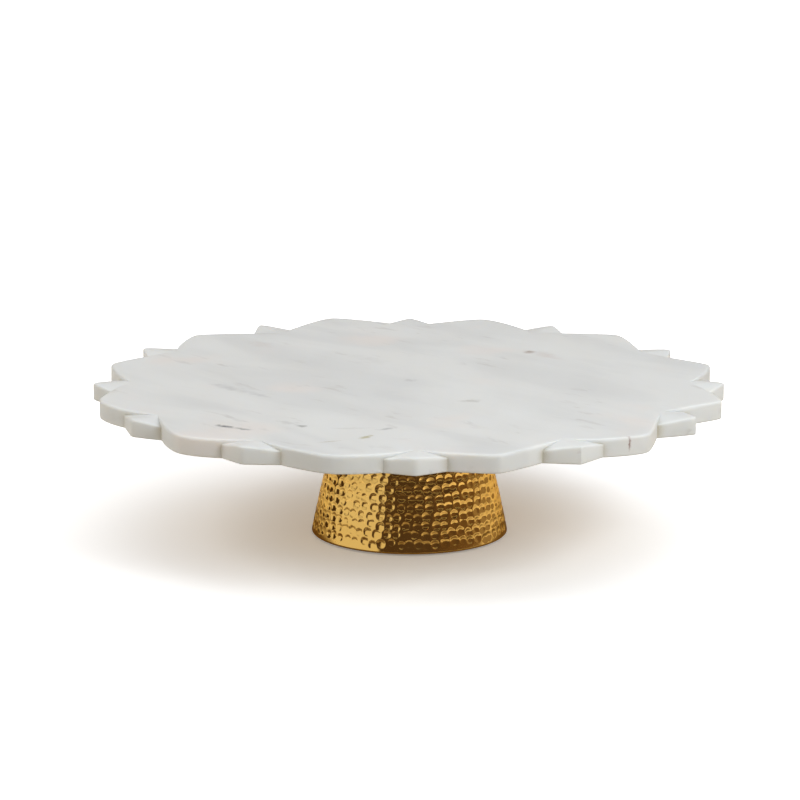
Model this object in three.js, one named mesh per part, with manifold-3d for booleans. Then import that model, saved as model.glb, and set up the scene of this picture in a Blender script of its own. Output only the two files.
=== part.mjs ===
// Round cake stand: a lotus-cut marble plate bolted to a flared, hollow metal pedestal.
// Millimetres, +Z up. The origin is on the table, at the centre of the pedestal.

import * as THREE from 'three';
import { mergeVertices } from 'three/addons/utils/BufferGeometryUtils.js';
import Module from 'manifold-3d';

const wasm = await Module();
wasm.setup();

// ---- driving dimensions ----

// Whole stand
const standHeight = 74.5; // table to the top of the plate

// Marble plate
const plateRadius = 152.4; // centre to the crown of a large petal, and to the tip of a small one
const valleyDepth = 17.9; // how far in from there two large petals meet
const plateThickness = 9;
const petalCount = 12; // large petals, and as many small ones between them
const crownSoftness = 0.09; // 0 gives a large petal a sharp crown
const tuckShare = 0.6; // share of a large petal's flank that stays clear of the small petal
const tipDrop = 0.5; // small petal's tip below the plate's top
const tuckDrop = 2.5; // small petal's side corners below the plate's top
const rootInset = 1; // how far a small petal's root runs in under its neighbours
const rootDrop = 0.05;
const tuckInset = 6; // how far its side corners run in under its neighbours

// Hammered pedestal shell
const footRadius = 47.5;
const headRadius = 33;
const wall = 1.2;
const footSlope = 0.17; // radius lost for each millimetre of height just above the foot
const bellyShare = 0.27; // share of the shell's height where the foot's slope meets the head's
const edgeRadius = 0.6; // rounding of its outer edge at the foot and at the head

// Flat ring brazed inside the foot
const footRingWidth = 8;
const footRingThickness = 1.5;

// Rubber pads stuck under the foot ring
const padCount = 4;
const padMargin = 1.75; // bare ring either side of a pad
const padThickness = 0.8;

// Cushion between marble and metal
const cushionInset = 4; // from the edge of the pedestal's head
const cushionWidth = 15;
const cushionThickness = 1;

// Mounting disc brazed inside the head, flush with its edge
const discThickness = 2;

// M6 button-head screw, its washers and the insert glued into the marble
const screwRadius = 3;
const screwTipShort = 1.45; // the screw stops this far short of the insert's inner end
const headShoulder = 2.25; // how far the head stands out round the shank
const screwHeadHeight = 3.3;
const domeFlat = 0.6; // share of the head's radius that is flat at its crown
const socketAcrossFlats = 4;
const socketDepth = 2;
const lockWasherWidth = 1.9;
const lockWasherThickness = 1.6;
const lockWasherSplit = 1.2; // width of the split
const flatWasherWidth = 5.7;
const flatWasherThickness = 1.6;
const insertWall = 1.7;
const insertLength = 5;

// Clearances
const seatGap = 0.05; // between faces that bear on each other
const glueGap = 0.3; // around the insert in the marble
const brazeGap = 0.3; // round the mounting disc and the foot ring in the shell
const fitGap = 0.3; // round the screw in its holes

const roundSegments = 72;
const smallSegments = 36;
const flankSteps = 12; // straight pieces in half a large petal
const profileSteps = 12; // straight pieces up the pedestal's side
const bendSteps = 3;

// ---- heights and radii worked out from them ----

const plateBottom = standHeight - plateThickness;
const cushionTop = plateBottom - seatGap;
const shellTop = cushionTop - cushionThickness - seatGap;
const shellBottom = padThickness + seatGap;
const shellHeight = shellTop - shellBottom;
const flatWasherTop = shellTop - discThickness - seatGap;
const lockWasherTop = flatWasherTop - flatWasherThickness - seatGap;
const screwHeadTop = lockWasherTop - lockWasherThickness - seatGap;

const screwTipHeight = plateBottom + insertLength - screwTipShort;

const valleyRadius = plateRadius - valleyDepth;
const boreRadius = screwRadius + fitGap; // every hole that the screw passes through
const insertRadius = boreRadius + insertWall;
const footRingRadius = hollowRadius(footRingThickness) - brazeGap;

// ---- materials ----

const marble = new THREE.MeshStandardMaterial({ color: 0xe4e2de, roughness: 0.35, metalness: 0 });
const hammeredGold = new THREE.MeshStandardMaterial({ color: 0xcf9f45, roughness: 0.22, metalness: 1 });
const zincSteel = new THREE.MeshStandardMaterial({ color: 0xb9bcbf, roughness: 0.38, metalness: 1 });
const plainBrass = new THREE.MeshStandardMaterial({ color: 0xb8923f, roughness: 0.4, metalness: 1 });
const blackRubber = new THREE.MeshStandardMaterial({ color: 0x1d1b1a, roughness: 0.8, metalness: 0 });
const clearCushion = new THREE.MeshStandardMaterial({ color: 0xd8d5cd, roughness: 0.6, metalness: 0 });

// ---- helpers ----

function asSolid(geometry) {
  const bare = geometry.clone();
  bare.deleteAttribute('normal');
  bare.deleteAttribute('uv');
  const merged = mergeVertices(bare, 1e-4);
  const vertProperties = new Float32Array(merged.attributes.position.array);
  const triVerts = new Uint32Array(merged.index.array);
  return new wasm.Manifold(new wasm.Mesh({ numProp: 3, vertProperties, triVerts }));
}

function asGeometry(solid) {
  const mesh = solid.getMesh();
  const geometry = new THREE.BufferGeometry();
  geometry.setAttribute('position', new THREE.BufferAttribute(mesh.vertProperties, 3));
  geometry.setIndex(new THREE.BufferAttribute(mesh.triVerts, 1));
  geometry.computeVertexNormals();
  return geometry;
}

// Turns a profile of [radius, height] pairs about Z. The profile runs up the outside and down the inside.
function turned(profile, segments) {
  const points = profile.map(([radius, height]) => new THREE.Vector2(radius, height));
  return new THREE.LatheGeometry(points, segments).rotateX(Math.PI / 2);
}

// A flat ring or, with no inner radius, a flat disc.
function ring(innerRadius, outerRadius, low, high, segments) {
  const profile = [
    [innerRadius, low],
    [outerRadius, low],
    [outerRadius, high],
    [innerRadius, high],
  ];
  if (innerRadius > 0) {
    profile.push([innerRadius, low]);
  }
  return turned(profile, segments);
}

function polar(radius, angle, height) {
  return new THREE.Vector3(radius * Math.cos(angle), radius * Math.sin(angle), height);
}

// ---- marble plate ----

const petalPitch = (2 * Math.PI) / petalCount;
const halfPetal = petalPitch / 2;

// Radius of the large petals' outline. share is 0 at a crown and 1 where two of them meet.
function flankRadius(share) {
  const fall = 1 / (Math.hypot(1, crownSoftness) - crownSoftness);
  const height = 1 + fall * (crownSoftness - Math.hypot(share, crownSoftness));
  return valleyRadius + valleyDepth * height;
}

function largePetals() {
  const outline = new THREE.Shape();
  for (let petal = 0; petal < petalCount; petal += 1) {
    const crownAngle = (petal + 0.5) * petalPitch;
    for (let step = -flankSteps; step < flankSteps; step += 1) {
      const share = step / flankSteps;
      const point = polar(flankRadius(Math.abs(share)), crownAngle + share * halfPetal, 0);
      if (petal === 0 && step === -flankSteps) {
        outline.moveTo(point.x, point.y);
      } else {
        outline.lineTo(point.x, point.y);
      }
    }
  }
  outline.closePath();
  const slab = new THREE.ExtrudeGeometry(outline, { depth: plateThickness, bevelEnabled: false });
  return asSolid(slab.translate(0, 0, plateBottom));
}

// One small petal: two sunk facets that meet on a midrib.
// Its root and side corners run on into the large petals.
function smallPetal(angle) {
  const root = polar(valleyRadius - rootInset, angle, standHeight - rootDrop);
  const tip = polar(plateRadius, angle, standHeight - tipDrop);
  const tuckAngle = (1 - tuckShare) * halfPetal;
  const top = [root];
  const sides = [-1, 1].map((side) => {
    const corner = polar(flankRadius(tuckShare), angle + side * tuckAngle, standHeight - tuckDrop);
    const facet = new THREE.Plane().setFromCoplanarPoints(root, tip, corner);
    const inner = polar(flankRadius(tuckShare) - tuckInset, angle + side * tuckAngle, 0);
    const plumb = new THREE.Line3(inner, inner.clone().setZ(2 * standHeight));
    return { corner, inner: facet.intersectLine(plumb, new THREE.Vector3()) };
  });
  top.push(sides[0].inner, sides[0].corner, tip, sides[1].corner, sides[1].inner);
  return asSolid(prismUnder(top, plateBottom));
}

// Closed solid between a fan of top points, anticlockwise from above, and the level plane below them.
function prismUnder(top, low) {
  const count = top.length;
  const positions = [];
  top.forEach((point) => positions.push(point.x, point.y, point.z));
  top.forEach((point) => positions.push(point.x, point.y, low));
  const index = [];
  for (let i = 1; i < count - 1; i += 1) {
    index.push(0, i, i + 1);
    index.push(count, count + i + 1, count + i);
  }
  for (let i = 0; i < count; i += 1) {
    const next = (i + 1) % count;
    index.push(i, count + i, count + next);
    index.push(i, count + next, next);
  }
  const geometry = new THREE.BufferGeometry();
  geometry.setAttribute('position', new THREE.Float32BufferAttribute(positions, 3));
  geometry.setIndex(index);
  return geometry;
}

function marblePlate() {
  let plate = largePetals();
  for (let petal = 0; petal < petalCount; petal += 1) {
    plate = plate.add(smallPetal(petal * petalPitch));
  }
  const holeTop = plateBottom + insertLength + glueGap;
  const hole = ring(0, insertRadius + glueGap, plateBottom - 1, holeTop, smallSegments);
  return asGeometry(plate.subtract(asSolid(hole)));
}

// ---- pedestal shell ----

// Outer radius at a height above the foot. The side is one quadratic curve from foot to head.
function shellRadius(height) {
  const bellyHeight = bellyShare * shellHeight;
  const bellyRadius = footRadius - footSlope * bellyHeight;
  const a = shellHeight - 2 * bellyHeight;
  const b = 2 * bellyHeight;
  const t = (2 * height) / (b + Math.sqrt(b * b + 4 * a * height));
  return (1 - t) ** 2 * footRadius + 2 * t * (1 - t) * bellyRadius + t ** 2 * headRadius;
}

// Inner radius of the shell at a height above the foot.
function hollowRadius(height) {
  return shellRadius(height) - wall;
}

// Quarter round of the shell's outer edge, from the angle start to the angle end about a centre.
function roundedEdge(centreRadius, centreHeight, start, end) {
  const points = [];
  for (let step = 0; step <= bendSteps; step += 1) {
    const angle = start + ((end - start) * step) / bendSteps;
    const radius = centreRadius + edgeRadius * Math.cos(angle);
    points.push([radius, centreHeight + edgeRadius * Math.sin(angle)]);
  }
  return points;
}

function pedestalShell() {
  const footCentre = shellRadius(edgeRadius) - edgeRadius;
  const headCentre = shellRadius(shellHeight - edgeRadius) - edgeRadius;
  const profile = roundedEdge(footCentre, edgeRadius, -Math.PI / 2, 0);
  for (let step = 1; step < profileSteps; step += 1) {
    const height = (shellHeight * step) / profileSteps;
    profile.push([shellRadius(height), height]);
  }
  profile.push(...roundedEdge(headCentre, shellHeight - edgeRadius, 0, Math.PI / 2));
  for (let step = profileSteps; step >= 0; step -= 1) {
    const height = (shellHeight * step) / profileSteps;
    profile.push([hollowRadius(height), height]);
  }
  profile.push(profile[0]);
  return turned(profile, roundSegments);
}

// ---- what is inside and under it ----

function footRing() {
  const low = shellBottom;
  return ring(footRingRadius - footRingWidth, footRingRadius, low, low + footRingThickness, roundSegments);
}

function footPad() {
  return ring(0, footRingWidth / 2 - padMargin, 0, padThickness, smallSegments);
}

function cushion() {
  const radius = headRadius - cushionInset;
  return ring(radius - cushionWidth, radius, cushionTop - cushionThickness, cushionTop, roundSegments);
}

function mountingDisc() {
  const radius = hollowRadius(shellHeight) - brazeGap;
  return ring(boreRadius, radius, shellTop - discThickness, shellTop, roundSegments);
}

function flatWasher() {
  const low = flatWasherTop - flatWasherThickness;
  return ring(boreRadius, boreRadius + flatWasherWidth, low, flatWasherTop, smallSegments);
}

function lockWasher() {
  const radius = boreRadius + lockWasherWidth;
  const outerSplit = Math.asin(lockWasherSplit / 2 / radius);
  const innerSplit = Math.asin(lockWasherSplit / 2 / boreRadius);
  const outline = new THREE.Shape();
  outline.absarc(0, 0, radius, outerSplit, 2 * Math.PI - outerSplit, false);
  outline.absarc(0, 0, boreRadius, 2 * Math.PI - innerSplit, innerSplit, true);
  outline.closePath();
  const settings = { depth: lockWasherThickness, bevelEnabled: false, curveSegments: smallSegments };
  const washer = new THREE.ExtrudeGeometry(outline, settings);
  return washer.translate(0, 0, lockWasherTop - lockWasherThickness);
}

function clampScrew() {
  const low = screwHeadTop - screwHeadHeight;
  const headRadiusAtSeat = screwRadius + headShoulder;
  const profile = [[0, low]];
  for (let step = 0; step <= bendSteps + 1; step += 1) {
    const angle = (Math.PI / 2) * (step / (bendSteps + 1));
    const radius = headRadiusAtSeat * (domeFlat + (1 - domeFlat) * Math.sin(angle));
    profile.push([radius, screwHeadTop - screwHeadHeight * Math.cos(angle)]);
  }
  profile.push([screwRadius, screwHeadTop]);
  profile.push([screwRadius, screwTipHeight]);
  profile.push([0, screwTipHeight]);
  const body = asSolid(turned(profile, smallSegments));
  const socketRadius = socketAcrossFlats / 2 / Math.cos(Math.PI / 6);
  const socket = asSolid(ring(0, socketRadius, low - 1, low + socketDepth, 6));
  return asGeometry(body.subtract(socket));
}

function threadedInsert() {
  return ring(boreRadius, insertRadius, plateBottom, plateBottom + insertLength, smallSegments);
}

// ---- assembly ----

function named(name, geometry, material) {
  const mesh = new THREE.Mesh(geometry, material);
  mesh.name = name;
  return mesh;
}

const stand = new THREE.Group();

stand.add(named('marble_plate', marblePlate(), marble));
stand.add(named('threaded_insert', threadedInsert(), plainBrass));
stand.add(named('cushion_washer', cushion(), clearCushion));

const pedestal = named('pedestal_shell', pedestalShell(), hammeredGold);
pedestal.position.z = shellBottom;
stand.add(pedestal);

stand.add(named('foot_ring', footRing(), plainBrass));
stand.add(named('mounting_disc', mountingDisc(), zincSteel));
stand.add(named('flat_washer', flatWasher(), zincSteel));
stand.add(named('lock_washer', lockWasher(), zincSteel));
stand.add(named('clamp_screw', clampScrew(), zincSteel));

for (let pad = 0; pad < padCount; pad += 1) {
  const angle = (2 * Math.PI * pad) / padCount;
  const mesh = named(`foot_pad_${pad + 1}`, footPad(), blackRubber);
  mesh.position.copy(polar(footRingRadius - footRingWidth / 2, angle, 0));
  stand.add(mesh);
}

export default stand;
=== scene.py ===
import math

import bmesh
import bpy
import numpy as np
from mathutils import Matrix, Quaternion, Vector


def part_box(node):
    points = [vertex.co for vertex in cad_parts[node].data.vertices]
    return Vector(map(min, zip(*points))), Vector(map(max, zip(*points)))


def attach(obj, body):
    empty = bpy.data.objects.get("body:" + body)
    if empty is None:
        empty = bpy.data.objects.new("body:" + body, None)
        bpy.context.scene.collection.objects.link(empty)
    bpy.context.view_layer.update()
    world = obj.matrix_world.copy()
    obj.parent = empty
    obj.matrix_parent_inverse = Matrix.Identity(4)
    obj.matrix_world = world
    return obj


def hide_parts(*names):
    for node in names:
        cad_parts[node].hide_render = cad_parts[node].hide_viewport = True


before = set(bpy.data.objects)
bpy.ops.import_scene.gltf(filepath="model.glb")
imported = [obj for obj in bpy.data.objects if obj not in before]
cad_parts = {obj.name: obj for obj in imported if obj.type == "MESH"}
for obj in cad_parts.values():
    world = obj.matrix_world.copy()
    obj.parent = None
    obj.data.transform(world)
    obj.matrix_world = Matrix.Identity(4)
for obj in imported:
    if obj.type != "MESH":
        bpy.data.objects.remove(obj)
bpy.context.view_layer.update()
scene = bpy.context.scene
mm = 0.001
fullTurn = 2 * math.pi


# Walks a grid of points (rays round the axis, columns from the top centre outwards and down)
# and closes it into one mesh. Points that fall together become one.
def skinGrid(name, grid, sharpDegrees=35):
    rays, columns, _ = grid.shape
    flat = grid.reshape(-1, 3)
    sameSpot = 1e-7
    keys = np.round(flat / sameSpot).astype(np.int64)
    _, first, inverse = np.unique(keys, axis=0, return_index=True, return_inverse=True)
    ids = inverse.reshape(rays, columns)
    nextRay = np.roll(ids, -1, axis=0)
    quads = np.stack([ids[:, :-1], ids[:, 1:], nextRay[:, 1:], nextRay[:, :-1]], axis=-1)
    faces = []
    for quad in quads.reshape(-1, 4).tolist():
        corners = [v for i, v in enumerate(quad) if v != quad[i - 1]]
        if len(corners) > 2 and len(set(corners)) == len(corners):
            faces.append(corners)
    mesh = bpy.data.meshes.new(name)
    mesh.from_pydata(flat[first].tolist(), [], faces)
    softenMesh(mesh, sharpDegrees)
    piece = bpy.data.objects.new(name, mesh)
    scene.collection.objects.link(piece)
    return piece


# Smooth shading, broken at edges that turn more than the limit.
def softenMesh(mesh, sharpDegrees):
    work = bmesh.new()
    work.from_mesh(mesh)
    limit = math.radians(sharpDegrees)
    for face in work.faces:
        face.smooth = True
    for edge in work.edges:
        edge.smooth = not (len(edge.link_faces) == 2 and edge.calc_face_angle(0) > limit)
    work.to_mesh(mesh)
    work.free()


# Grid of points from angles round the axis and their radii and heights, ray by ray.
def gridFromRays(angles, radii, heights):
    cosine, sine = np.cos(angles)[:, None], np.sin(angles)[:, None]
    return np.stack([radii * cosine, radii * sine, np.broadcast_to(heights, radii.shape)], axis=-1)


# Round piece from a profile of (radius, height) points that runs out along the top and back underneath.
def turnPiece(name, profile, rays, sharpDegrees=35):
    angles = np.arange(rays) * fullTurn / rays
    radii, heights = np.array(profile, float).T
    return skinGrid(name, gridFromRays(angles, np.tile(radii, (rays, 1)), heights), sharpDegrees)


# Section of a flat ring or disc with its edges rounded.
def ringProfile(inner, outer, low, high, edge, steps=3):
    def corner(radius, height, start):
        turns = [math.radians(start - 90 * i / steps) for i in range(steps + 1)]
        return [(radius + edge * math.cos(t), height + edge * math.sin(t)) for t in turns]
    outside = corner(outer - edge, high - edge, 90) + corner(outer - edge, low + edge, 0)
    if inner <= 0:
        return [(0, high)] + outside + [(0, low)]
    inside = corner(inner + edge, low + edge, -90) + corner(inner + edge, high - edge, -180)
    ring = outside + inside
    return ring + [ring[0]]


def finishPiece(piece, material, slot, *nodes):
    piece.data.materials.clear()
    piece.data.materials.append(material)
    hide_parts(*nodes)
    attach(piece, "root")


# Smooth wander round the axis and up it: a few sine waves with fixed random phases.
class Wander:
    def __init__(self, seed, waves, slowest, fastest, climb):
        dice = np.random.default_rng(seed)
        self.turns = dice.integers(slowest, fastest + 1, waves)
        self.climb = dice.uniform(-climb, climb, waves)
        self.phase = dice.uniform(0, fullTurn, waves)

    def at(self, angle, height=0.0):
        total = 0
        for turns, climb, phase in zip(self.turns, self.climb, self.phase):
            total = total + np.sin(turns * angle + climb * height / mm + phase)
        return total / math.sqrt(len(self.turns))


view = {
    "distance": 2.012,     # from the point it aims at
    "elevation": 13.07,    # degrees above the table
    "azimuth": -0.53,      # degrees round from the front
    "lens": 187.3,
    "roll": 0.17,
    "aimRight": -0.00477,  # of the axis
    "aimBelowTop": 0.00915,
}


def makeCamera(settings):
    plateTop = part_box("marble_plate")[1].z
    azimuth = math.radians(settings["azimuth"])
    elevation = math.radians(settings["elevation"])
    right = Vector((math.cos(azimuth), math.sin(azimuth), 0))
    back = Vector((math.sin(azimuth), -math.cos(azimuth), 0)) * math.cos(elevation)
    back.z = math.sin(elevation)
    aim = right * settings["aimRight"] + Vector((0, 0, plateTop - settings["aimBelowTop"]))
    camera = bpy.data.objects.new("camera", bpy.data.cameras.new("camera"))
    camera.data.lens = settings["lens"]
    camera.data.sensor_width = 36
    camera.data.clip_start = 0.05
    camera.data.clip_end = 50
    camera.location = aim + back * settings["distance"]
    roll = Quaternion((0, 0, 1), math.radians(settings["roll"]))
    camera.rotation_mode = "QUATERNION"
    camera.rotation_quaternion = (-back).to_track_quat("-Z", "Y") @ roll
    scene.collection.objects.link(camera)
    scene.camera = camera


makeCamera(view)
print("camera: placed")


# The lists are how the hand cutting strays from the even design, anticlockwise from the right.
plate = {
    "petals": 12,
    "valleyDepth": 17.9 * mm,    # from the crowns in to where two large petals meet
    "crownSoftness": 0.075,
    "tuckShare": 0.6,            # share of a large petal's flank left clear of the small one
    "tipDrop": 0.5 * mm,
    "tuckDrop": 2.4 * mm,
    "ribSoftness": 2.5 * mm,     # of the ridge along a small petal
    "tipSoftness": 0.9 * mm,
    "topArris": 1.2 * mm,        # rounding of the worn edges
    "bottomArris": 0.8 * mm,
    "wallWander": 0.08 * mm,
    "insideRays": 12,            # on each half petal, behind the small petal and clear of it
    "outsideRays": 20,
    "insertGap": 0.3 * mm,       # between the stone and the brass insert
    "tuckShareSpread": 0.04,     # uneven hand cutting
    "tuckDropSpread": 0.15,
    "tipDropSpread": 0.3,
    "crownTurnSpread": 0.3,      # degrees
    "seed": 11,
    # millimetres out, degrees round, and millimetres fuller than an even flank
    "crownOut": (0.5, -0.5, -0.8, 1.3, -0.8, -1, 0, 0.9, 0.3, 0, 0, 0.3),
    "valleyOut": (0, -1, -6, -6.5, -6.5, -1, 0, 3, 4, 4.5, 1.5, -1.5),
    "tipOut": (0, 0, 1, -1, 1.5, 1.5, 1, -0.3, 0, 0.2, -1, -0.5),
    "tipTurn": (-0.3, 0, 0.5, -0.7, -0.3, 0, 0.5, 0.8, -0.7, 0.4, 0.3, 1.5),
    "fullBefore": (0, -2, -0.5, 0, 0, 0.5, 0, 3, 3, 2.5, -1.5, -2),
    "fullAfter": (0, -0.5, 1.5, 0.5, -1.5, 0, 0, 0, 0.5, 0, 2.5, -2),
}


# Rise of a large petal's flank, 0 at the valley and 1 at its rounded crown.
def flankHeight(share, softness):
    fall = 1 / (math.hypot(1, softness) - softness)
    return 1 + fall * (softness - np.hypot(share, softness))


# The outline, ray by ray: angle, edge of the top, drop to the facet there, outer edge, drop there.
def petalRays(settings, radius):
    count = settings["petals"]
    pitch = fullTurn / count
    dice = np.random.default_rng(settings["seed"])

    def spread(key, shape):
        return dice.uniform(-settings[key], settings[key], shape)

    tuckShare = settings["tuckShare"] + spread("tuckShareSpread", (count, 2))
    tuckDrop = settings["tuckDrop"] * (1 + spread("tuckDropSpread", (count, 2)))
    tipDrop = settings["tipDrop"] * (1 + spread("tipDropSpread", count))
    crownAngle = pitch * (np.arange(count) + 0.5) + np.radians(spread("crownTurnSpread", count))
    crownRadius = radius + np.array(settings["crownOut"]) * mm
    valleyAngle = pitch * np.arange(count) + np.radians(settings["tipTurn"])
    valleyRadius = radius - settings["valleyDepth"] + np.array(settings["valleyOut"]) * mm
    tipRadius = radius + np.array(settings["tipOut"]) * mm
    rays = []
    for petal in range(count):
        after = (petal + 1) % count
        turn = fullTurn if after == 0 else 0
        crown = (crownAngle[petal], crownRadius[petal])
        rising = flankRays(settings, *crown, settings["fullAfter"][petal] * mm,
                           valleyAngle[petal], valleyRadius[petal], tipRadius[petal], tipDrop[petal],
                           tuckShare[petal, 1], tuckDrop[petal, 1])
        falling = flankRays(settings, *crown, settings["fullBefore"][after] * mm,
                            valleyAngle[after] + turn, valleyRadius[after], tipRadius[after], tipDrop[after],
                            tuckShare[after, 0], tuckDrop[after, 0])
        rays += rising[:-1] + falling[:0:-1]
    return np.array(rays)


# Half a large petal, from the valley out to the crown, with half a small petal in front of it.
def flankRays(settings, crownAngle, crownRadius, full, valleyAngle, valleyRadius, tipRadius, tipDrop,
              tuckShare, tuckDrop):
    def edge(share):
        rise = flankHeight(share, settings["crownSoftness"])
        return valleyRadius + (crownRadius - valleyRadius) * rise + full * 4 * share * (1 - share)

    inside = np.linspace(1, tuckShare, settings["insideRays"], endpoint=False)
    outside = np.linspace(tuckShare, 0, settings["outsideRays"])
    tuckAngle = abs(crownAngle - valleyAngle) * (1 - tuckShare)
    tuckX, tuckY = edge(tuckShare) * math.cos(tuckAngle), edge(tuckShare) * math.sin(tuckAngle)
    rib = settings["ribSoftness"]
    ribFall = tipDrop / (tipRadius - valleyRadius)
    sideFall = (tuckDrop - ribFall * (tuckX - valleyRadius)) / (math.hypot(tuckY, rib) - rib)
    slant = (tipRadius - tuckX) / tuckY

    def drop(x, y):
        return max(ribFall * (x - valleyRadius) + sideFall * (math.hypot(y, rib) - rib), 0)

    rays = []
    for share in inside:
        angle = valleyAngle + (crownAngle - valleyAngle) * (1 - share)
        off = abs(angle - valleyAngle)
        inner = edge(share)
        outer = tipRadius / (math.cos(off) + slant * math.sin(off))
        across = outer * math.sin(off)
        outer -= slant * (math.hypot(across, settings["tipSoftness"]) - across)
        outer = max(outer, inner)
        rays.append((angle, inner, drop(inner * math.cos(off), inner * math.sin(off)),
                     outer, drop(outer * math.cos(off), outer * math.sin(off))))
    for share in outside:
        angle = valleyAngle + (crownAngle - valleyAngle) * (1 - share)
        rays.append((angle, edge(share), tuckDrop, edge(share), tuckDrop))
    return rays


# Columns of the plate, from the centre of its top out over the small petals, down the wall and
# back underneath to the hole for the insert.
def makePlate(settings):
    low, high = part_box("marble_plate")
    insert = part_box("threaded_insert")[1]
    top, bottom = high.z, low.z
    angle, inner, innerDrop, outer, outerDrop = petalRays(settings, high.x).T
    facet = outer - inner
    noFacet = facet < 1e-9
    tightest, facetShare = 0.45, 0.8     # of what room there is, and of the plate's own rounding
    arris = np.minimum(settings["topArris"], tightest * innerDrop)
    arris = np.where(noFacet, settings["topArris"], arris)
    facetArris = np.minimum(settings["topArris"] * facetShare, tightest * facet)
    footArris = settings["bottomArris"]
    quarter = np.radians([0, 22.5, 45, 67.5, 90])
    radii, heights = [], []

    def column(radius, height):
        radii.append(np.broadcast_to(radius, angle.shape).astype(float))
        heights.append(np.broadcast_to(height, angle.shape).astype(float))

    for share in (0, 0.1, 0.22, 0.36, 0.5, 0.64, 0.76, 0.86, 0.93, 0.98):
        column(share * (inner - arris), top)
    for turn in quarter:
        column(inner - arris * (1 - np.sin(turn)), top - arris * (1 - np.cos(turn)))
    firstWall = len(radii) - 1
    column(inner, top - innerDrop)
    for share in (0.25, 0.5, 0.75):
        column(inner + share * (facet - facetArris), top - innerDrop - share * (outerDrop - innerDrop))
    for turn in quarter:
        column(outer - facetArris * (1 - np.sin(turn)), top - outerDrop - facetArris * (1 - np.cos(turn)))
    wallTop = np.where(noFacet, top - outerDrop, top - outerDrop - facetArris)
    for share in (0.2, 0.4, 0.6, 0.8):
        column(outer, wallTop + share * (bottom + footArris - wallTop))
    for turn in quarter[::-1]:
        column(outer - footArris * (1 - np.sin(turn)), bottom + footArris * (1 - np.cos(turn)))
    lastWall = len(radii) - 1
    for share in (0.95, 0.85, 0.7, 0.5, 0.3):
        column(share * outer, bottom)
    holeRadius = insert.x + settings["insertGap"]
    holeTop = insert.z + settings["insertGap"]
    column(holeRadius, bottom)
    column(holeRadius, holeTop)
    column(0, holeTop)
    radii, heights = np.array(radii).T, np.array(heights).T
    wander = Wander(settings["seed"], waves=9, slowest=9, fastest=60, climb=0.25)
    onWall = np.zeros(radii.shape[1])
    onWall[firstWall:lastWall] = 1
    radii = radii + onWall * settings["wallWander"] * wander.at(angle[:, None], heights)
    return skinGrid("marblePlate", gridFromRays(angle, radii, heights), 32)


marblePlate = makePlate(plate)
print("plate: %d faces" % len(marblePlate.data.polygons))


pedestal = {
    "wall": 1.2 * mm,
    "rowPitch": 4.35 * mm,       # between rows of dents, up the side
    "dentPitch": 4.6 * mm,       # between dents along a row
    "dentRadius": 2.12 * mm,
    "dentDepth": 0.33 * mm,
    "dentFlatness": 3.5,         # 2 gives a round cup, more a flatter bottom and a steeper rim
    "slantLeft": 0.16,           # how much deeper the hammer bites on the left
    "slantUp": 0.28,             # and at the top, as shares of the depth
    "plainFoot": 2.3 * mm,       # smooth band left under the lowest row
    "strayAlong": 0.10,          # shares of the pitch
    "strayUp": 0.09,
    "sizeSpread": 0.09,
    "depthSpread": 0.25,
    "sheetWander": 0.012 * mm,   # uneven sheet between the dents
    "edge": 0.5 * mm,            # rounding of the outer edge at the foot and the head
    "rays": 660,
    "rows": 136,
    "insideRows": 7,
    "seed": 5,
}


# Smooth radius of the shell's outside at any height, read from the frame's own shell.
def shellProfile():
    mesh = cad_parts["pedestal_shell"].data
    points = np.array([v.co for v in mesh.vertices], float)
    radius = np.hypot(points[:, 0], points[:, 1])
    low, high = points[:, 2].min(), points[:, 2].max()
    levels = np.unique(np.round(points[:, 2] / mm, 2)) * mm
    levels = [z for z in levels if low + mm < z < high - mm]
    sameLevel = 0.01 * mm
    outer = [radius[np.abs(points[:, 2] - z) < sameLevel].max() for z in levels]
    return np.polynomial.Polynomial.fit(levels, outer, 3), low, high


# Depth of the dents at every point of the outside. They are struck row by row from the foot up,
# each one a flat-bottomed cup that bites a little deeper at its upper left.
def hammerDents(settings, profile, low, high, angles, heights):
    depth = np.zeros((len(angles), len(heights)))
    dice = np.random.default_rng(settings["seed"])
    reach = settings["dentRadius"] * 1.35      # no dent is wider than this
    rise = 1 / math.hypot(1, float(profile.deriv()((low + high) / 2)))
    height = low + settings["plainFoot"] + settings["dentRadius"]
    while height < high + settings["dentRadius"] * 0.5:
        radius = float(profile(height))
        count = round(fullTurn * radius / settings["dentPitch"])
        phase = dice.uniform(0, 1)
        for dent in range(count):
            along = (dent + phase + dice.normal(0, settings["strayAlong"])) * fullTurn / count
            centre = height + dice.normal(0, settings["strayUp"]) * settings["rowPitch"]
            size = settings["dentRadius"] * (1 + dice.normal(0, settings["sizeSpread"]))
            deep = settings["dentDepth"] * (1 + dice.normal(0, settings["depthSpread"]))
            rows = np.nonzero(np.abs(heights - centre) < reach)[0]
            if len(rows) == 0:
                continue
            apart = (angles - along + math.pi) % fullTurn - math.pi
            rays = np.nonzero(np.abs(apart) * radius < reach)[0]
            across = apart[rays][:, None] * profile(heights[rows])[None, :]
            up = (heights[rows] - centre)[None, :] / rise
            away = np.hypot(across, up) / size
            slant = 1 + (settings["slantUp"] * up - settings["slantLeft"] * across) / size
            cup = deep * slant * np.clip(1 - away ** settings["dentFlatness"], 0, None)
            window = np.ix_(rays, rows)
            depth[window] = np.maximum(depth[window], cup)
        height += settings["rowPitch"] * rise
    return depth


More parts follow.
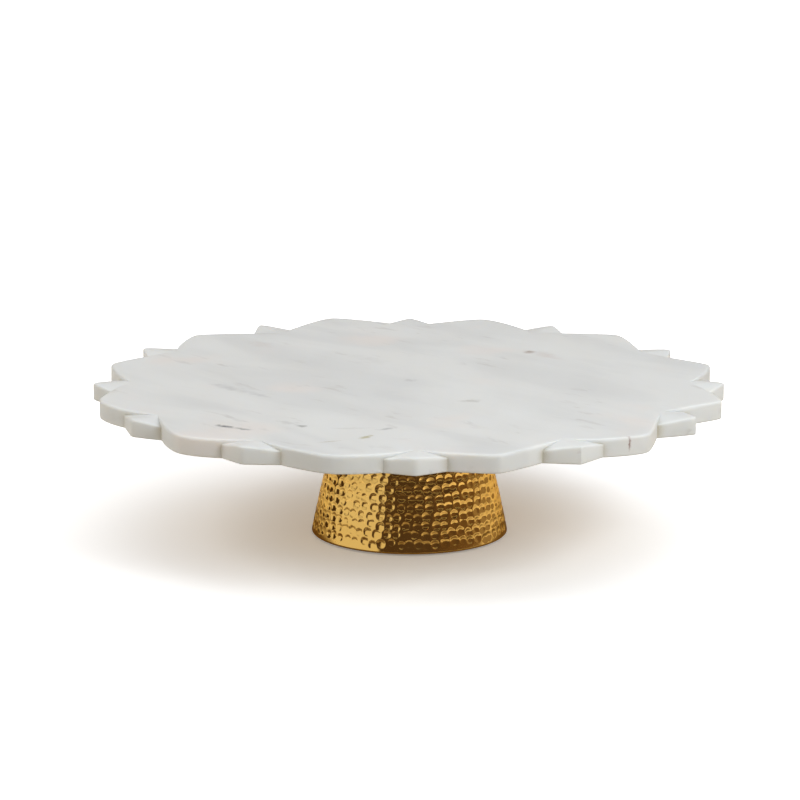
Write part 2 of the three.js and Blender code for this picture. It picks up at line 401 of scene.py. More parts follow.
def makeShell(settings):
    profile, low, high = shellProfile()
    edge, wall = settings["edge"], settings["wall"]
    angles = np.arange(settings["rays"]) * fullTurn / settings["rays"]
    heights = np.linspace(high - edge, low + edge, settings["rows"])
    slope = profile.deriv()(heights)
    lean = np.hypot(1, slope)
    dents = hammerDents(settings, profile, low, high, angles, heights)
    wander = Wander(settings["seed"], waves=12, slowest=10, fastest=42, climb=0.5)
    dents = dents + settings["sheetWander"] * wander.at(angles[:, None], heights[None, :])
    radii = profile(heights)[None, :] - dents / lean
    levels = heights[None, :] + dents * slope / lean
    quarter = np.radians([30, 60, 90])
    headRadius, footRadius = float(profile(high - edge)), float(profile(low + edge))
    head, inside = [], []
    for turn in quarter[::-1]:
        head.append((headRadius - edge + edge * math.cos(turn), high - edge + edge * math.sin(turn)))
    for turn in quarter:
        inside.append((footRadius - edge + edge * math.cos(turn), low + edge - edge * math.sin(turn)))
    for height in np.linspace(low, high, settings["insideRows"]):
        inside.append((float(profile(height)) - wall, height))
    inside.append(head[0])

    def allRound(profilePoints, column):
        return np.tile(np.array(profilePoints)[:, column], (len(angles), 1))

    radii = np.concatenate([allRound(head, 0), radii, allRound(inside, 0)], axis=1)
    levels = np.concatenate([allRound(head, 1), levels, allRound(inside, 1)], axis=1)
    return skinGrid("hammeredPedestal", gridFromRays(angles, radii, levels), 40)


hammeredPedestal = makeShell(pedestal)
print("pedestal: %d faces" % len(hammeredPedestal.data.polygons))


# Radius of a round body of the frame, and the heights it lies between.
def boxRadius(node):
    low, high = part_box(node)
    return (high.x - low.x) / 2, low.z, high.z


hardware = {
    "bore": 3.3 * mm,            # radius of every hole the screw goes through
    "ringEdge": 0.25 * mm,       # rounding of the rings' and pads' edges
    "cushionBore": 14 * mm,      # radius
    "footRingWidth": 8 * mm,
}

screw = {
    "shank": 3.0 * mm,           # radius over the thread
    "threadPitch": 1.0 * mm,
    "threadDepth": 0.3 * mm,
    "threadSteps": 8,            # to each pitch
    "tipBevel": 0.5 * mm,
    "seatGap": 0.05 * mm,        # between the head and the washer on it
    "headSide": 0.3 * mm,        # upright part of the head's side
    "headBevel": 0.2 * mm,
    "domeFlat": 0.62,            # flat share of the dome's radius
    "socketAcross": 4.0 * mm,
    "socketDepth": 2.0 * mm,
    "socketBevel": 0.25 * mm,
    "socketBevelDepth": 0.2 * mm,
    "rays": 72,
}

springWasher = {
    "cut": 12,                   # degrees
    "climb": 0.18 * mm,          # from one cut face to the other
    "edge": 0.15 * mm,
    "steps": 90,
}


# Button-head screw, head down: from the tip down the thread, round the head and up into the socket.
def makeScrew(settings):
    headRadius, low, tip = boxRadius("clamp_screw")
    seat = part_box("lock_washer")[0].z - settings["seatGap"]
    shank, pitch = settings["shank"], settings["threadPitch"]
    rays = settings["rays"]
    angles = np.arange(rays) * fullTurn / rays
    sixth = fullTurn / 6
    hexRadius = settings["socketAcross"] / 2 / np.cos((angles + sixth / 2) % sixth - sixth / 2)
    radii, heights = [], []

    def column(radius, height):
        radii.append(np.broadcast_to(radius, angles.shape).astype(float))
        heights.append(np.full(rays, height))

    column(0, tip)
    column(shank - settings["tipBevel"], tip)
    step = pitch / settings["threadSteps"]
    for index in range(int((tip - seat) / step)):
        height = tip - (index + 0.5) * step
        wave = np.abs(((height / pitch - angles / fullTurn) % 1) * 2 - 1)
        column(shank - settings["threadDepth"] * (1 - wave), height)
    column(shank, seat)
    column(headRadius - settings["headBevel"], seat)
    shoulder = seat - settings["headSide"]
    flat = settings["domeFlat"]
    for turn in np.radians([0, 15, 30, 45, 60, 75, 90]):
        domeRadius = headRadius * (flat + (1 - flat) * math.cos(turn))
        column(domeRadius, shoulder - (shoulder - low) * math.sin(turn))
    column(hexRadius + settings["socketBevel"], low)
    column(hexRadius, low + settings["socketBevelDepth"])
    column(hexRadius, low + settings["socketDepth"])
    column(0, low + settings["socketDepth"])
    return skinGrid("socketScrew", gridFromRays(angles, np.array(radii).T, np.array(heights).T), 30)


# Split spring washer: a closed band of square section that climbs a little from one cut face to the other.
def makeLockWasher(settings):
    outer, low, high = boxRadius("lock_washer")
    inner = hardware["bore"]
    cut = math.radians(settings["cut"])
    steps, climb = settings["steps"], settings["climb"]
    work = bmesh.new()
    previous = None
    for step in range(steps + 1):
        angle = cut / 2 + (fullTurn - cut) * step / steps
        lift = climb * (step / steps)
        section = [(outer, low + lift), (outer, high - climb + lift),
                   (inner, high - climb + lift), (inner, low + lift)]
        loop = [work.verts.new((r * math.cos(angle), r * math.sin(angle), z)) for r, z in section]
        if previous:
            for i in range(4):
                work.faces.new((previous[i], loop[i], loop[(i + 1) % 4], previous[(i + 1) % 4]))
        else:
            work.faces.new(loop)
        previous = loop
    work.faces.new(previous[::-1])
    bmesh.ops.recalc_face_normals(work, faces=work.faces)
    mesh = bpy.data.meshes.new("lockWasher")
    work.to_mesh(mesh)
    work.free()
    softenMesh(mesh, 40)
    piece = bpy.data.objects.new("lockWasher", mesh)
    scene.collection.objects.link(piece)
    bevel = piece.modifiers.new("rounded edges", "BEVEL")
    bevel.width = settings["edge"]
    bevel.segments = 2
    bevel.limit_method = "ANGLE"
    return piece


def makeRing(name, node, inner, rays, steps=3):
    outer, low, high = boxRadius(node)
    profile = ringProfile(inner, outer, low, high, hardware["ringEdge"], steps)
    return turnPiece(name, profile, rays)


cushionRing = makeRing("cushionRing", "cushion_washer", hardware["cushionBore"], 128)
mountingDisc = makeRing("mountingDisc", "mounting_disc", hardware["bore"], 128)
flatWasher = makeRing("flatWasher", "flat_washer", hardware["bore"], 96)
footRing = makeRing("footRing", "foot_ring", boxRadius("foot_ring")[0] - hardware["footRingWidth"], 160)
threadedInsert = makeRing("threadedInsert", "threaded_insert", hardware["bore"], 64)
socketScrew = makeScrew(screw)
lockWasher = makeLockWasher(springWasher)

footPads = []
for index in range(1, 5):
    low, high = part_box("foot_pad_%d" % index)
    pad = makeRing("footPad%d" % index, "foot_pad_%d" % index, 0, 48, 4)
    pad.location = ((low.x + high.x) / 2, (low.y + high.y) / 2, 0)
    footPads.append(pad)
print("hardware: %d pieces" % (7 + len(footPads)))


class Nodes:
    def __init__(self, tree):
        self.tree = tree

    def add(self, kind, **values):
        node = self.tree.nodes.new(kind)
        for key, value in values.items():
            setattr(node, key, value)
        return node

    def wire(self, source, target):
        self.tree.links.new(source, target)

    # Noise over the given points, 0 to 1.
    def noise(self, points, scale, detail, distortion=0.0):
        node = self.add("ShaderNodeTexNoise")
        node.inputs["Scale"].default_value = scale
        node.inputs["Detail"].default_value = detail
        node.inputs["Distortion"].default_value = distortion
        self.wire(points, node.inputs["Vector"])
        return node.outputs["Fac"]

    # Rises smoothly from 0 at the start to the top value at the end.
    def smoothStep(self, value, start, end, top=1.0):
        node = self.add("ShaderNodeMapRange", interpolation_type="SMOOTHSTEP")
        node.inputs["From Min"].default_value = start
        node.inputs["From Max"].default_value = end
        node.inputs["To Max"].default_value = top
        self.wire(value, node.inputs["Value"])
        return node.outputs["Result"]

    def product(self, first, second):
        node = self.add("ShaderNodeMath", operation="MULTIPLY")
        for socket, value in ((0, first), (1, second)):
            if isinstance(value, (int, float)):
                node.inputs[socket].default_value = value
            else:
                self.wire(value, node.inputs[socket])
        return node.outputs[0]

    # Paints one colour over another where the mask shows.
    def paintOver(self, mask, under, over):
        node = self.add("ShaderNodeMix", data_type="RGBA")
        self.wire(mask, node.inputs["Factor"])
        for socket, colour in (("A", under), ("B", over)):
            if isinstance(colour, tuple):
                node.inputs[socket].default_value = (*colour, 1)
            else:
                self.wire(colour, node.inputs[socket])
        return node.outputs["Result"]

    def length(self, points):
        node = self.add("ShaderNodeVectorMath", operation="LENGTH")
        self.wire(points, node.inputs[0])
        return node.outputs["Value"]

    # Angle round from the front, rightwards positive, of a point or a direction.
    def turnFromFront(self, x, y):
        azimuth = self.add("ShaderNodeMath", operation="ARCTAN2")
        self.wire(x, azimuth.inputs[0])
        self.wire(self.product(y, -1), azimuth.inputs[1])
        return azimuth.outputs[0]


def newMaterial(name):
    material = bpy.data.materials.new(name)
    material.use_nodes = True
    return material, Nodes(material.node_tree), material.node_tree.nodes["Principled BSDF"]


# Fine surface grain: a roughness value and a height, from two sizes of noise.
def grainGroup():
    group = bpy.data.node_groups.new("surfaceGrain", "ShaderNodeTree")
    for name, default in (("Scale", 40), ("Low", 0.2), ("High", 0.4)):
        socket = group.interface.new_socket(name, in_out="INPUT", socket_type="NodeSocketFloat")
        socket.default_value = default
    group.interface.new_socket("Roughness", in_out="OUTPUT", socket_type="NodeSocketFloat")
    group.interface.new_socket("Height", in_out="OUTPUT", socket_type="NodeSocketFloat")
    n = Nodes(group)
    start, end = n.add("NodeGroupInput"), n.add("NodeGroupOutput")
    place = n.add("ShaderNodeTexCoord")
    timesFiner = 9

    def grainNoise(scale, detail):
        node = n.add("ShaderNodeTexNoise")
        node.inputs["Detail"].default_value = detail
        n.wire(place.outputs["Object"], node.inputs["Vector"])
        n.wire(scale, node.inputs["Scale"])
        return node.outputs["Fac"]

    coarse = grainNoise(start.outputs["Scale"], 5)
    fine = grainNoise(n.product(start.outputs["Scale"], timesFiner), 3)
    span = n.add("ShaderNodeMapRange")
    n.wire(coarse, span.inputs["Value"])
    span.inputs["From Min"].default_value = 0.3
    span.inputs["From Max"].default_value = 0.7
    n.wire(start.outputs["Low"], span.inputs["To Min"])
    n.wire(start.outputs["High"], span.inputs["To Max"])
    n.wire(span.outputs["Result"], end.inputs["Roughness"])
    n.wire(fine, end.inputs["Height"])
    return group


surfaceGrain = grainGroup()


# Grain for a shader: its scale, the range of roughness and how deep it looks.
def addGrain(n, shader, scale, roughness, depth):
    grain = n.add("ShaderNodeGroup", node_tree=surfaceGrain)
    grain.inputs["Scale"].default_value = scale
    grain.inputs["Low"].default_value, grain.inputs["High"].default_value = roughness
    n.wire(grain.outputs["Roughness"], shader.inputs["Roughness"])
    bump = n.add("ShaderNodeBump")
    bump.inputs["Strength"].default_value = depth
    bump.inputs["Distance"].default_value = 0.2 * mm
    n.wire(grain.outputs["Height"], bump.inputs["Height"])
    n.wire(bump.outputs["Normal"], shader.inputs["Normal"])


finishes = {
    "hammeredGold": {
        "light": (0.86, 0.56, 0.165), "dark": (0.80, 0.50, 0.135), "metallic": 1,
        "grain": 60, "roughness": (0.06, 0.12), "depth": 0.03, "edgeTint": (0.9, 0.72, 0.45),
    },
    "plainBrass": {
        "light": (0.70, 0.50, 0.20), "dark": (0.55, 0.38, 0.15), "metallic": 1,
        "grain": 120, "roughness": (0.28, 0.45), "depth": 0.15,
    },
    "zincSteel": {
        "light": (0.66, 0.67, 0.68), "dark": (0.5, 0.51, 0.53), "metallic": 1,
        "grain": 200, "roughness": (0.25, 0.45), "depth": 0.15,
    },
    "padRubber": {
        "light": (0.035, 0.033, 0.032), "dark": (0.02, 0.019, 0.018), "metallic": 0,
        "grain": 400, "roughness": (0.6, 0.85), "depth": 0.3,
    },
    "cushionRubber": {
        "light": (0.62, 0.60, 0.56), "dark": (0.5, 0.48, 0.44), "metallic": 0,
        "grain": 300, "roughness": (0.5, 0.7), "depth": 0.2,
    },
}


# Metal or rubber: two close colours in soft patches, with grain.
def plainMaterial(name):
    look = finishes[name]
    material, n, shader = newMaterial(name)
    shader.inputs["Metallic"].default_value = look["metallic"]
    if "edgeTint" in look:
        shader.inputs["Specular Tint"].default_value = (*look["edgeTint"], 1)
    place = n.add("ShaderNodeTexCoord")
    patches = look["grain"] * 0.6
    ramp = n.add("ShaderNodeValToRGB")
    dark, light = ramp.color_ramp.elements
    dark.position, light.position = 0.35, 0.65
    dark.color, light.color = (*look["dark"], 1), (*look["light"], 1)
    n.wire(n.noise(place.outputs["Object"], patches, 4), ramp.inputs["Fac"])
    n.wire(ramp.outputs["Color"], shader.inputs["Base Color"])
    addGrain(n, shader, look["grain"], look["roughness"], look["depth"])
    return material


hammeredGold = plainMaterial("hammeredGold")
plainBrass = plainMaterial("plainBrass")
zincSteel = plainMaterial("zincSteel")
padRubber = plainMaterial("padRubber")
cushionRubber = plainMaterial("cushionRubber")


# One mark in the stone: a soft-edged streak of a given place, direction, length and width,
# broken up by noise. Puts out how strongly the mark shows.
def veinMarkGroup():
    group = bpy.data.node_groups.new("veinMark", "ShaderNodeTree")
    for name, kind, default in (
        ("Vector", "NodeSocketVector", (0, 0, 0)),
        ("Centre", "NodeSocketVector", (0, 0, 0)),
        ("Direction", "NodeSocketFloat", 0),
        ("Length", "NodeSocketFloat", 0.01),
        ("Width", "NodeSocketFloat", 0.004),
        ("Raggedness", "NodeSocketFloat", 0.5),
        ("Grain", "NodeSocketFloat", 260),
    ):
        group.interface.new_socket(name, in_out="INPUT", socket_type=kind).default_value = default
    group.interface.new_socket("Mask", in_out="OUTPUT", socket_type="NodeSocketFloat")
    n = Nodes(group)
    start, end = n.add("NodeGroupInput"), n.add("NodeGroupOutput")
    shift = n.add("ShaderNodeVectorMath", operation="SUBTRACT")
    n.wire(start.outputs["Vector"], shift.inputs[0])
    n.wire(start.outputs["Centre"], shift.inputs[1])
    turn = n.add("ShaderNodeVectorRotate", rotation_type="Z_AXIS", invert=True)
    n.wire(shift.outputs["Vector"], turn.inputs["Vector"])
    n.wire(start.outputs["Direction"], turn.inputs["Angle"])
    span = n.add("ShaderNodeCombineXYZ")
    n.wire(start.outputs["Length"], span.inputs["X"])
    n.wire(start.outputs["Width"], span.inputs["Y"])
    n.wire(start.outputs["Length"], span.inputs["Z"])
    scale = n.add("ShaderNodeVectorMath", operation="DIVIDE")
    n.wire(turn.outputs["Vector"], scale.inputs[0])
    n.wire(span.outputs["Vector"], scale.inputs[1])
    rough = n.add("ShaderNodeTexNoise")
    n.wire(start.outputs["Grain"], rough.inputs["Scale"])
    rough.inputs["Detail"].default_value = 3
    n.wire(start.outputs["Vector"], rough.inputs["Vector"])
    centred = n.add("ShaderNodeMath", operation="SUBTRACT")
    n.wire(rough.outputs["Fac"], centred.inputs[0])
    centred.inputs[1].default_value = 0.5
    ragged = n.add("ShaderNodeMath", operation="MULTIPLY_ADD")
    n.wire(centred.outputs[0], ragged.inputs[0])
    n.wire(start.outputs["Raggedness"], ragged.inputs[1])
    n.wire(n.length(scale.outputs["Vector"]), ragged.inputs[2])
    n.wire(n.smoothStep(ragged.outputs[0], 1, 0), end.inputs["Mask"])
    return group


veinMark = veinMarkGroup()

# Noise settings are (scale, detail, distortion), and the spans are where a pattern starts to show
# and where it is full.
stone = {
    "light": (0.69, 0.71, 0.705),
    "cloud": (0.635, 0.655, 0.655),
    "fleck": (0.50, 0.50, 0.49),
    "blush": (0.72, 0.68, 0.65),
    # painted shade colour for the wall's inner corners
    "cornerShade": (0.44, 0.40, 0.29),
    "grainDirection": -48,       # degrees, the way the stone's bedding runs across the plate
    "grainStretch": (0.35, 1, 0.7),
    "grainShift": (0.4, 0.15, 0),
    "clouds": {"noise": (26, 5, 0.5), "span": (0.40, 0.66)},
    "blushes": {"noise": (17, 2), "span": (0.56, 0.72), "strength": 0.6},
    "flecks": {"noise": (150, 4, 0.3), "span": (0.58, 0.74), "strength": 0.6},
    "fleckAreas": {"noise": (22, 2), "span": (0.42, 0.62)},
    "markRaggedness": 1.6,
    "markGrain": 0.9,            # noise to the width of a mark
    "nookReach": 6 * mm,         # painted shade in the corners of the wall: how far the occlusion test reaches
    "nookSpan": (0.97, 0.78),
    "nookStrength": 0.85,
    "nookFrom": 73.6 * mm,       # below the top's own edge
    "nookFull": 71 * mm,
    "glowDepth": 6 * mm,         # how far light goes into the stone
    "grain": 30,
    "roughness": (0.38, 0.5),
    "depth": 0.05,
    "marks": (
        # x, y, height (mm), direction, length, width (mm), strength, colour
        (-86, -93.5, 74.5, -32, 8, 2.8, 0.95, (0.13, 0.14, 0.15)),
        (-78, -98.5, 74.5, -28, 6, 2.4, 0.75, (0.22, 0.23, 0.24)),
        (-51, -92.5, 74.5, -40, 4, 2.6, 0.80, (0.20, 0.21, 0.21)),
        (-58, -86, 74.5, -45, 9, 3.0, 0.35, (0.38, 0.39, 0.38)),
        (-12, -98, 74.5, 25, 6, 2.4, 0.55, (0.26, 0.27, 0.27)),
        (-28, -97, 74.5, 5, 14, 2.2, 0.25, (0.42, 0.42, 0.40)),
        (-21, -114, 74.5, 50, 5, 2.6, 0.85, (0.36, 0.33, 0.15)),
        (-38, -123, 74.5, 22, 8, 1.2, 0.55, (0.40, 0.37, 0.26)),
        (-86, -15, 74.5, -46, 20, 4.5, 0.40, (0.40, 0.41, 0.42)),
        (-72, -29, 74.5, -46, 10, 3.2, 0.35, (0.36, 0.37, 0.38)),
        (-9, -30, 74.5, -52, 26, 12, 0.22, (0.50, 0.52, 0.54)),
        (28, -41, 74.5, 8, 6, 4.5, 0.50, (0.33, 0.33, 0.30)),
        (0, 3, 74.5, -50, 5, 3.6, 0.40, (0.40, 0.41, 0.42)),
        (60, 67, 74.5, -60, 4.5, 4, 0.75, (0.28, 0.20, 0.17)),
        (69, 58, 74.5, -58, 14, 6, 0.30, (0.52, 0.43, 0.39)),
        (-72, 83, 74.5, -50, 12, 7, 0.25, (0.54, 0.47, 0.43)),
        (-20, 50, 74.5, -50, 20, 6, 0.20, (0.46, 0.46, 0.44)),
        (75.5, -132, 71.5, -20, 2.6, 1.8, 0.60, (0.32, 0.23, 0.22)),
        (99.4, -113.8, 71.5, -49, 4.6, 0.9, 0.95, (0.20, 0.09, 0.07)),
    ),
}


def marbleMaterial(settings):
    material, n, shader = newMaterial("whiteMarble")
    place = n.add("ShaderNodeTexCoord")
    spot = place.outputs["Object"]

    def pattern(points, look):
        return n.smoothStep(n.noise(points, *look["noise"]), *look["span"], look.get("strength", 1.0))

    turned = n.add("ShaderNodeVectorRotate", rotation_type="Z_AXIS", invert=True)
    turned.inputs["Angle"].default_value = math.radians(settings["grainDirection"])
    n.wire(spot, turned.inputs["Vector"])
    along = n.add("ShaderNodeMapping")
    along.inputs["Scale"].default_value = settings["grainStretch"]
    along.inputs["Location"].default_value = settings["grainShift"]
    n.wire(turned.outputs["Vector"], along.inputs["Vector"])
    bed = along.outputs["Vector"]

    colour = n.paintOver(pattern(bed, settings["clouds"]), settings["light"], settings["cloud"])
    colour = n.paintOver(pattern(spot, settings["blushes"]), colour, settings["blush"])
    flecks = n.product(pattern(bed, settings["flecks"]), pattern(spot, settings["fleckAreas"]))
    colour = n.paintOver(flecks, colour, settings["fleck"])
    for x, y, height, direction, length, width, strength, shade in settings["marks"]:
        mark = n.add("ShaderNodeGroup", node_tree=veinMark)
        mark.inputs["Centre"].default_value = (x * mm, y * mm, height * mm)
        mark.inputs["Direction"].default_value = math.radians(direction)
        mark.inputs["Length"].default_value = length * mm
        mark.inputs["Width"].default_value = width * mm
        mark.inputs["Raggedness"].default_value = settings["markRaggedness"]
        mark.inputs["Grain"].default_value = settings["markGrain"] / (width * mm)
        n.wire(spot, mark.inputs["Vector"])
        colour = n.paintOver(n.product(mark.outputs["Mask"], strength), colour, shade)
    # Painted shade: where ambient occlusion finds the wall hidden, its colour goes towards the corner shade
    # colour.
    nook = n.add("ShaderNodeAmbientOcclusion", samples=8, only_local=True)
    nook.inputs["Distance"].default_value = settings["nookReach"]
    level = n.add("ShaderNodeSeparateXYZ")
    n.wire(spot, level.inputs[0])
    onWall = n.smoothStep(level.outputs["Z"], settings["nookFrom"], settings["nookFull"])
    paintedShade = n.smoothStep(nook.outputs["AO"], *settings["nookSpan"], settings["nookStrength"])
    colour = n.paintOver(n.product(paintedShade, onWall), colour, settings["cornerShade"])
    n.wire(colour, shader.inputs["Base Color"])
    shader.inputs["Subsurface Weight"].default_value = 0.5
    shader.inputs["Subsurface Radius"].default_value = (1.0, 0.9, 0.75)
    shader.inputs["Subsurface Scale"].default_value = settings["glowDepth"]
    shader.inputs["Specular IOR Level"].default_value = 0.35
    addGrain(n, shader, settings["grain"], settings["roughness"], settings["depth"])
    return material


whiteMarble = marbleMaterial(stone)

finishPiece(marblePlate, whiteMarble, "marble", "marble_plate")
finishPiece(hammeredPedestal, hammeredGold, "hammered_gold", "pedestal_shell")
finishPiece(cushionRing, cushionRubber, "cushion", "cushion_washer")
finishPiece(mountingDisc, zincSteel, "zinc_steel", "mounting_disc")
finishPiece(flatWasher, zincSteel, "zinc_steel", "flat_washer")
finishPiece(lockWasher, zincSteel, "zinc_steel", "lock_washer")
finishPiece(socketScrew, zincSteel, "zinc_steel", "clamp_screw")
finishPiece(footRing, plainBrass, "plain_brass", "foot_ring")
finishPiece(threadedInsert, plainBrass, "plain_brass", "threaded_insert")
for index, pad in enumerate(footPads):
    finishPiece(pad, padRubber, "pad_rubber", "foot_pad_%d" % (index + 1))
print("materials: done")


# Angles are degrees round from the front, leftwards negative. Distances are from the stand's axis.
studio = {
    "floorHalf": 6,
    "floorColor": 0.88,
    "floorBounce": (0.52, 0.46, 0.37),     # what the object's own shading gets back from the floor
    "glowNear": 0.26,            # painted light on the floor: emitted lift round the foot, and away from it
    "glowFar": 0.80,
    "glowSpan": (0.05, 0.36),    # distances between which the lift grows
    "glowShift": (0.014, 0.030, 0),        # moves the painted shadow patch to the left and forwards
    "glowSquash": (1.12, 0.80, 1),         # and makes it deeper than wide
    # warm tint of the painted light near the foot, standing in for light thrown off the gold
    "glowWarm": (1, 0.88, 0.74),
    "warmSpan": (0.16, 0.05),
    # the floor as the metal sees it, a painted reflection: lit colours on each side, a painted shadow round
    # the foot, and dark past the edge of the bright paper in front
    "mirroredLeft": (0.95, 0.90, 0.82),
    "mirroredFront": (0.86, 0.74, 0.58),
    "mirroredRight": (0.92, 0.80, 0.64),
    "mirroredShadowNear": (0.50, 0.38, 0.26),
    "beyondSheet": (0.14, 0.095, 0.06),
    "leftToFront": (-35, -15),
    "frontToRight": (15, 45),
    "nearSpan": (0.09, 0.06),
    "sheetEdge": 0.108,
    "sheetSoftness": 0.02,
    "sheetFrom": (-66, -50),
    "sheetTo": (40, 2),
    # the room: unlit in front, where it gets a little lighter to the right
    "room": (0.31, 0.225, 0.16),
    "gap": (0.06, 0.033, 0.015),
    "leftPanel": (0.84, 0.81, 0.76),
    "rightPanel": (0.33, 0.25, 0.175),
    "dark": (0.088, 0.058, 0.042),
    "duskEnd": (0.17, 0.105, 0.058),
    "duskSpan": (10, 80),
    "sectors": (
        # from, to, softness, colour
        (-129, -102, 3, "gap"),
        (-102, -36, 4, "leftPanel"),
        (88, 160, 6, "rightPanel"),
        (-36, 88, 2, "dark"),
    ),
    "dome": (0.55, 0.55, 0.55),
    "domeSpan": (24, 42),        # degrees up
    # the card under the plate
    "cardGap": 0.5 * mm,
    "cardInner": 36 * mm,
    "cardOuter": 128 * mm,
    "cardRays": 96,
    "cardStrength": 0.9,
    "cardSoftness": 6,
    "cardTurns": ((-78, "leftPanel"), (-27, "dark"), (67, "rightPanel")),
    "lightAim": (0, 0, 0.05),
    "lights": {
        "overhead": {"place": (0.20, 0.12, 1.8), "width": 2.0, "power": 6.0, "color": (1, 0.99, 0.985)},
        "frontKey": {"place": (1.08, -0.98, 1.03), "width": 0.8, "power": 20, "color": (0.92, 0.96, 1)},
        "leftFill": {"place": (-1.35, -0.40, 1.15), "width": 0.7, "power": 8, "color": (1, 0.965, 0.93)},
    },
}


# The floor in the metal, a painted reflection: lit colours to the left, in front and to the right, a painted
# shadow ring round the foot, and dark where the bright paper ends in front.
def mirroredFloor(n, settings, azimuth, away):
    def sweep(span):
        return n.smoothStep(azimuth, *map(math.radians, span))

    edge, soft = settings["sheetEdge"], settings["sheetSoftness"]
    front = n.product(sweep(settings["sheetFrom"]), sweep(settings["sheetTo"]))
    beyond = n.product(front, n.smoothStep(away, edge - soft, edge + soft))
    seen = n.paintOver(sweep(settings["leftToFront"]), settings["mirroredLeft"], settings["mirroredFront"])
    seen = n.paintOver(sweep(settings["frontToRight"]), seen, settings["mirroredRight"])
    # painted shadow of the plate round the foot, as the metal sees it
    seen = n.paintOver(n.smoothStep(away, *settings["nearSpan"]), seen, settings["mirroredShadowNear"])
    return n.paintOver(beyond, seen, settings["beyondSheet"])


# Painted light on the floor that only the camera sees: an emitted lift, least in a soft painted shadow patch
# round the foot.
def floorGlow(n, settings, spot):
    lift = n.add("ShaderNodeMapRange", interpolation_type="SMOOTHSTEP")
    lift.inputs["From Min"].default_value, lift.inputs["From Max"].default_value = settings["glowSpan"]
    lift.inputs["To Min"].default_value = settings["glowNear"]
    lift.inputs["To Max"].default_value = settings["glowFar"]
    patch = n.add("ShaderNodeMapping")
    patch.inputs["Location"].default_value = settings["glowShift"]
    patch.inputs["Scale"].default_value = settings["glowSquash"]
    n.wire(spot, patch.inputs["Vector"])
    n.wire(n.length(patch.outputs["Vector"]), lift.inputs["Value"])
    return lift.outputs["Result"]


def makeFloor(settings):
    mesh = bpy.data.meshes.new("floor")
    half = settings["floorHalf"]
    corners = [(-half, -half, 0), (half, -half, 0), (half, half, 0), (-half, half, 0)]
    mesh.from_pydata(corners, [], [(0, 1, 2, 3)])
    floor = bpy.data.objects.new("floor", mesh)
    scene.collection.objects.link(floor)
    material, n, shader = newMaterial("paleFloor")
    ray = n.add("ShaderNodeLightPath")
    place = n.add("ShaderNodeTexCoord")
    spot = place.outputs["Object"]
    split = n.add("ShaderNodeSeparateXYZ")
    n.wire(spot, split.inputs[0])
    azimuth = n.turnFromFront(split.outputs["X"], split.outputs["Y"])
    away = n.length(spot)
    pale = (settings["floorColor"],) * 3
    shade = n.paintOver(ray.outputs["Is Glossy Ray"], pale, mirroredFloor(n, settings, azimuth, away))
    shade = n.paintOver(ray.outputs["Is Diffuse Ray"], shade, settings["floorBounce"])
    n.wire(shade, shader.inputs["Base Color"])
    shader.inputs["Roughness"].default_value = 0.9
    shader.inputs["Specular IOR Level"].default_value = 0.1
    # Painted light: the floor's emission, warmer near the foot, for the camera only and least round the
    # foot.
    warmth = n.smoothStep(away, *settings["warmSpan"])
    n.wire(n.paintOver(warmth, (1.0, 1.0, 1.0), settings["glowWarm"]), shader.inputs["Emission Color"])
    glow = n.product(floorGlow(n, settings, spot), ray.outputs["Is Camera Ray"])
    n.wire(glow, shader.inputs["Emission Strength"])
    clear = n.add("ShaderNodeBsdfTransparent")      # from below, nothing hides the underside
    side = n.add("ShaderNodeNewGeometry")
    oneSided = n.add("ShaderNodeMixShader")
    n.wire(side.outputs["Backfacing"], oneSided.inputs[0])
    n.wire(shader.outputs[0], oneSided.inputs[1])
    n.wire(clear.outputs[0], oneSided.inputs[2])
    n.wire(oneSided.outputs[0], material.node_tree.nodes["Material Output"].inputs["Surface"])
    mesh.materials.append(material)


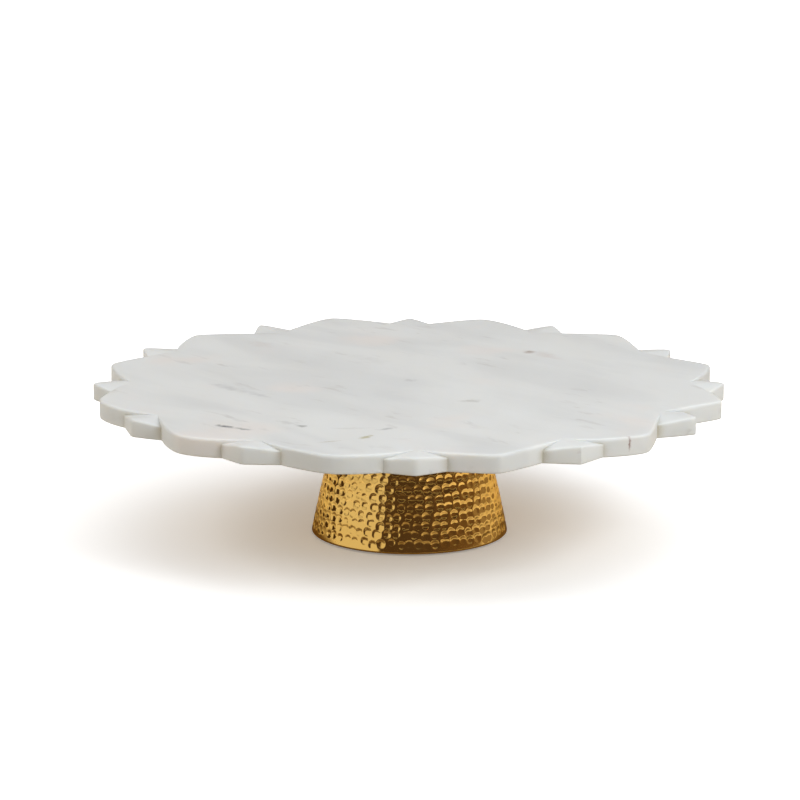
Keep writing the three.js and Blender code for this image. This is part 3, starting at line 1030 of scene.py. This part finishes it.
# Card under the plate that only shows in the metal: bright on the left, unlit in front and warmer
# on the right, like the room.
def makeCard(settings):
    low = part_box("marble_plate")[0].z - settings["cardGap"]
    rays = settings["cardRays"]
    points = []
    for index in range(rays):
        angle = index * fullTurn / rays
        for radius in (settings["cardInner"], settings["cardOuter"]):
            points.append((radius * math.cos(angle), radius * math.sin(angle), low))
    faces = [(2 * i, 2 * i + 1, (2 * i + 3) % (2 * rays), (2 * i + 2) % (2 * rays)) for i in range(rays)]
    mesh = bpy.data.meshes.new("lightCard")
    mesh.from_pydata(points, [], faces)
    card = bpy.data.objects.new("lightCard", mesh)
    scene.collection.objects.link(card)
    card.visible_camera = False
    card.visible_diffuse = False
    card.visible_shadow = False
    card.visible_transmission = False
    material, n, shader = newMaterial("cardGlow")
    place = n.add("ShaderNodeTexCoord")
    split = n.add("ShaderNodeSeparateXYZ")
    n.wire(place.outputs["Object"], split.inputs[0])
    azimuth = n.turnFromFront(split.outputs["X"], split.outputs["Y"])
    soft = settings["cardSoftness"]
    seen = settings["room"]
    for turn, colour in settings["cardTurns"]:
        past = n.smoothStep(azimuth, math.radians(turn - soft), math.radians(turn + soft))
        seen = n.paintOver(past, seen, settings[colour])
    shader.inputs["Base Color"].default_value = (0, 0, 0, 1)
    shader.inputs["Specular IOR Level"].default_value = 0
    n.wire(seen, shader.inputs["Emission Color"])
    shader.inputs["Emission Strength"].default_value = settings["cardStrength"]
    mesh.materials.append(material)


# Soft square light that the metal doesn't mirror.
def squareLight(name, settings, aim):
    data = bpy.data.lights.new(name, "AREA")
    data.size = settings["width"]
    data.energy = settings["power"]
    data.color = settings["color"]
    light = bpy.data.objects.new(name, data)
    light.location = settings["place"]
    light.rotation_mode = "QUATERNION"
    light.rotation_quaternion = (Vector(aim) - light.location).to_track_quat("-Z", "Y")
    light.visible_glossy = False
    scene.collection.objects.link(light)


# Surround: a dim room with a white panel on the left and a narrow gap behind it, unlit in front,
# a warmer panel on the right, and a pale ceiling over it all.
def makeSurround(settings):
    world = bpy.data.worlds.new("surround")
    scene.world = world
    world.use_nodes = True
    n = Nodes(world.node_tree)
    place = n.add("ShaderNodeTexCoord")
    split = n.add("ShaderNodeSeparateXYZ")
    n.wire(place.outputs["Generated"], split.inputs[0])
    azimuth = n.turnFromFront(split.outputs["X"], split.outputs["Y"])

    def sweep(start, end):
        return n.smoothStep(azimuth, math.radians(start), math.radians(end))

    dusk = n.paintOver(sweep(*settings["duskSpan"]), settings["dark"], settings["duskEnd"])
    colours = {**settings, "dark": dusk}
    seen = settings["room"]
    for start, end, soft, colour in settings["sectors"]:
        between = n.product(sweep(start - soft, start + soft), sweep(end + soft, end - soft))
        seen = n.paintOver(between, seen, colours[colour])
    domeStart, domeEnd = (math.sin(math.radians(up)) for up in settings["domeSpan"])
    seen = n.paintOver(n.smoothStep(split.outputs["Z"], domeStart, domeEnd), seen, settings["dome"])
    n.wire(seen, world.node_tree.nodes["Background"].inputs["Color"])


makeFloor(studio)
makeCard(studio)
makeSurround(studio)
for name, light in studio["lights"].items():
    squareLight(name, light, studio["lightAim"])
scene.view_settings.view_transform = "Standard"
print("studio: lit")
